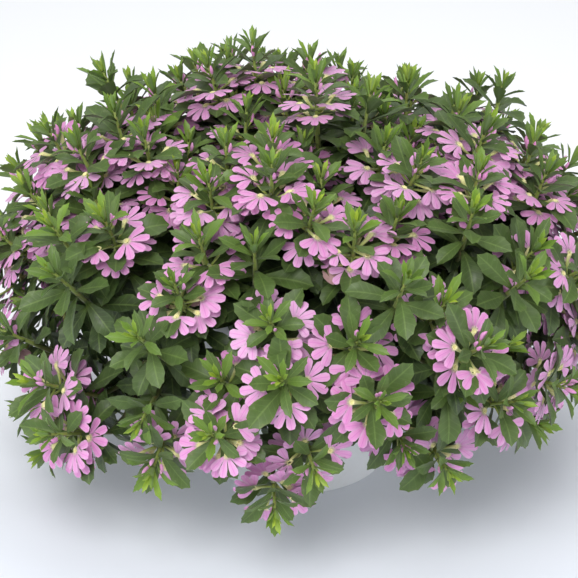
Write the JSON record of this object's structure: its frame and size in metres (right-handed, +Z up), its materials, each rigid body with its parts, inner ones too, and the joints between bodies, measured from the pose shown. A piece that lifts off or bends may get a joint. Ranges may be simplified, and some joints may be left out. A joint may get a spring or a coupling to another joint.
{
  "type": "potted fan flower",
  "caption": "Round white plastic pot of soil with a wide dome of toothed-leaved stems, some trailing over the rim, and pink fan-shaped blooms round the shoots.",
  "frame": {"origin": "centre of the flat base of the pot, on the surface that it stands on", "axes": "+Z up along the axis of the pot; -Y towards the side that the picture shows, +X to its right"},
  "size_m": [0.4834, 0.485, 0.3189],
  "materials": {
    "pot_plastic": "smooth white moulded plastic",
    "potting_soil": "crumbly dark potting mix of bark and peat",
    "leaf": "satin green leaf",
    "petal": "soft matt pink petal"
  },
  "bodies": {
    "root": {"pot": "pot_plastic", "soil": "potting_soil", "leafy_stem_1": "leaf", "leafy_stem_2": "leaf", "leafy_stem_3": "leaf", "leafy_stem_4": "leaf", "leafy_stem_5": "leaf", "leafy_stem_6": "leaf", "leafy_stem_7": "leaf", "leafy_stem_8": "leaf", "leafy_stem_9": "leaf", "leafy_stem_10": "leaf", "leafy_stem_11": "leaf", "leafy_stem_12": "leaf", "leafy_stem_13": "leaf", "leafy_stem_14": "leaf", "leafy_stem_15": "leaf", "leafy_stem_16": "leaf", "leafy_stem_17": "leaf", "leafy_stem_18": "leaf", "bloom_ring_1": "petal", "bloom_ring_2": "petal", "bloom_ring_3": "petal", "bloom_ring_4": "petal", "bloom_ring_5": "petal", "bloom_ring_6": "petal", "bloom_ring_7": "petal", "bloom_ring_8": "petal", "bloom_ring_9": "petal", "bloom_ring_10": "petal", "bloom_ring_11": "petal", "bloom_ring_12": "petal", "bloom_ring_13": "petal", "bloom_ring_14": "petal", "bloom_ring_15": "petal", "bloom_ring_16": "petal", "bloom_ring_17": "petal", "bloom_ring_18": "petal", "bloom_ring_19": "petal", "bloom_ring_20": "petal", "bloom_ring_21": "petal", "bloom_ring_22": "petal", "bloom_ring_23": "petal", "bloom_ring_24": "petal", "bloom_ring_25": "petal", "bloom_ring_26": "petal", "bloom_ring_27": "petal", "bloom_ring_28": "petal", "bloom_ring_29": "petal", "bloom_ring_30": "petal", "bloom_ring_31": "petal", "bloom_ring_32": "petal", "bloom_ring_33": "petal", "bloom_ring_34": "petal", "bloom_ring_35": "petal"}
  },
  "joints": []
}
